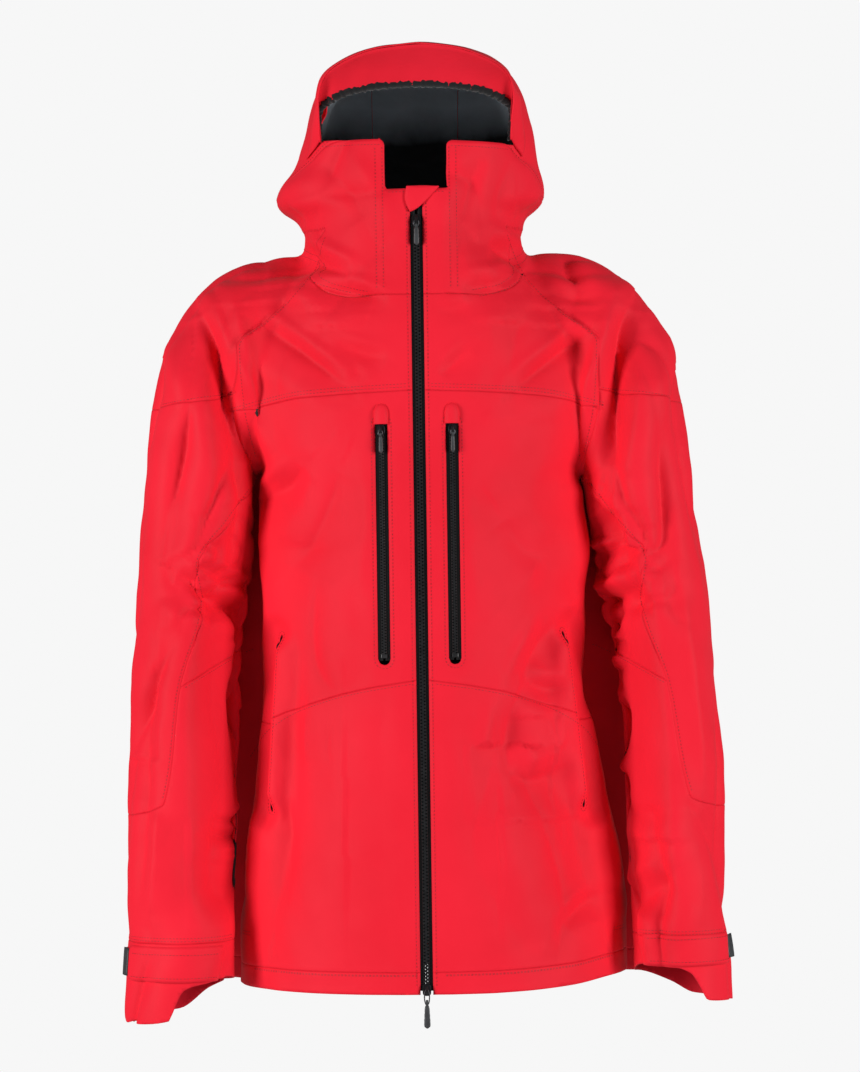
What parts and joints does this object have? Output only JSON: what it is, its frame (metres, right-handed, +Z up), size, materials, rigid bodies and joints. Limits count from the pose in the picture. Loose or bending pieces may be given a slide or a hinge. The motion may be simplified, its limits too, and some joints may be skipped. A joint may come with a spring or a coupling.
{
  "type": "hardshell jacket",
  "caption": "Hooded waterproof shell jacket with a two-way front zip, zipped chest and hand pockets, peel-open cuff tabs, a peaked hood and a hang loop.",
  "frame": {"origin": "underside of the hang loop's tape, in the middle of the back of the neck, where the jacket hangs", "axes": "+Z up along the body to the hood, -Y out of the chest, +X to the wearer's left"},
  "size_m": [0.6287, 0.2759, 0.9939],
  "materials": {
    "shell_red": "matt three-layer laminate",
    "facing_red": "matt facing under the brim",
    "lining_grey": "knitted backer and seam tape",
    "trim_black": "woven tape",
    "zip_black": "moulded teeth on coated tape",
    "metal_black": "satin",
    "rubber_black": "matt"
  },
  "bodies": {
    "root": {"front_yoke_left": "shell_red", "front_panel_left": "shell_red", "front_lower_left": "shell_red", "shoulder_left": "shell_red", "sleeve_outer_left": "shell_red", "sleeve_under_left": "shell_red", "forearm_left": "shell_red", "cuff_left": "shell_red", "collar_left": "shell_red", "front_zip_left": "zip_black", "cuff_patch_left": "trim_black", "pocket_bag_left": "lining_grey", "chest_left_zip": "zip_black", "hand_left_zip": "zip_black", "chest_left_garage": "shell_red", "front_yoke_right": "shell_red", "front_panel_right": "shell_red", "front_lower_right": "shell_red", "shoulder_right": "shell_red", "sleeve_outer_right": "shell_red", "sleeve_under_right": "shell_red", "forearm_right": "shell_red", "cuff_right": "shell_red", "collar_right": "shell_red", "front_zip_right": "zip_black", "cuff_patch_right": "trim_black", "pocket_bag_right": "lining_grey", "chest_right_zip": "zip_black", "hand_right_zip": "zip_black", "chest_right_garage": "shell_red", "back_yoke": "shell_red", "back_panel": "shell_red", "hem_band": "shell_red", "neck_gusset": "shell_red", "zip_garage": "shell_red", "neck_tape": "lining_grey", "hang_loop": "trim_black"},
    "hood": {"hood_side_left": "shell_red", "hood_side_right": "shell_red", "hood_centre": "shell_red", "hood_brim": "shell_red", "brim_facing": "facing_red", "hood_binding": "trim_black"},
    "upper_slider": {"upper_slider": "metal_black"},
    "upper_puller": {"upper_puller": "rubber_black"},
    "lower_slider": {"lower_slider": "metal_black"},
    "lower_puller": {"lower_puller": "rubber_black"},
    "chest_left_slider": {"chest_left_slider": "metal_black"},
    "chest_left_puller": {"chest_left_puller": "rubber_black"},
    "chest_right_slider": {"chest_right_slider": "metal_black"},
    "chest_right_puller": {"chest_right_puller": "rubber_black"},
    "hand_left_slider": {"hand_left_slider": "metal_black"},
    "hand_left_puller": {"hand_left_puller": "rubber_black"},
    "hand_right_slider": {"hand_right_slider": "metal_black"},
    "hand_right_puller": {"hand_right_puller": "rubber_black"},
    "cuff_tab_left": {"cuff_tab_left": "shell_red", "cuff_grip_left": "rubber_black"},
    "cuff_tab_right": {"cuff_tab_right": "shell_red", "cuff_grip_right": "rubber_black"}
  },
  "joints": [
    {"name": "upper_slider_slide", "type": "slide", "parent": "root", "child": "upper_slider", "axis": [0, -0.03, -0.9996], "range_m": [0, 0.56]},
    {"name": "upper_puller_swing", "type": "hinge", "parent": "upper_slider", "child": "upper_puller", "pos_m": [0, -0.18829, 0.01577], "axis": [-1, 0, 0], "range_deg": [0, 150]},
    {"name": "lower_slider_slide", "type": "slide", "parent": "root", "child": "lower_slider", "axis": [0, 0.03, 0.9996], "range_m": [0, 0.18]},
    {"name": "lower_puller_swing", "type": "hinge", "parent": "lower_slider", "child": "lower_puller", "pos_m": [0, -0.21135, -0.75288], "axis": [-1, 0, 0], "range_deg": [0, 150]},
    {"name": "chest_left_slide", "type": "slide", "parent": "root", "child": "chest_left_slider", "axis": [0, -0.0277, -0.9996], "range_m": [0, 0.21]},
    {"name": "chest_left_swing", "type": "hinge", "parent": "chest_left_slider", "child": "chest_left_puller", "pos_m": [0.03349, -0.19328, -0.19439], "axis": [-0.9925, -0.122, 0.0034], "range_deg": [0, 150]},
    {"name": "chest_right_slide", "type": "slide", "parent": "root", "child": "chest_right_slider", "axis": [0, -0.0264, -0.9997], "range_m": [0, 0.21]},
    {"name": "chest_right_swing", "type": "hinge", "parent": "chest_right_slider", "child": "chest_right_puller", "pos_m": [-0.03859, -0.19279, -0.19439], "axis": [-0.989, 0.1481, -0.0039], "range_deg": [0, 150]},
    {"name": "hand_left_slide", "type": "slide", "parent": "root", "child": "hand_left_slider", "axis": [0.1078, -0.0116, -0.9941], "range_m": [0, 0.145]},
    {"name": "hand_left_swing", "type": "hinge", "parent": "hand_left_slider", "child": "hand_left_puller", "pos_m": [0.14747, -0.12677, -0.41205], "axis": [-0.4265, -0.9038, -0.0358], "range_deg": [0, 120]},
    {"name": "hand_right_slide", "type": "slide", "parent": "root", "child": "hand_right_slider", "axis": [-0.0688, -0.0116, -0.9976], "range_m": [0, 0.145]},
    {"name": "hand_right_swing", "type": "hinge", "parent": "hand_right_slider", "child": "hand_right_puller", "pos_m": [-0.14723, -0.12677, -0.41222], "axis": [-0.4267, 0.9042, 0.0189], "range_deg": [0, 120]},
    {"name": "cuff_tab_left_peel", "type": "hinge", "parent": "root", "child": "cuff_tab_left", "pos_m": [0.21119, -0.15387, -0.72433], "axis": [0.1182, -0.0639, -0.9909], "range_deg": [0, 75]},
    {"name": "cuff_tab_right_peel", "type": "hinge", "parent": "root", "child": "cuff_tab_right", "pos_m": [-0.19854, -0.15387, -0.72434], "axis": [0.0791, 0.0641, 0.9948], "range_deg": [0, 75]},
    {"name": "hood_tilt", "type": "hinge", "parent": "root", "child": "hood", "pos_m": [0, -0.0795, 0.044], "axis": [-1, 0, 0], "range_deg": [0, 25], "deforming": ["neck_gusset"]}
  ]
}
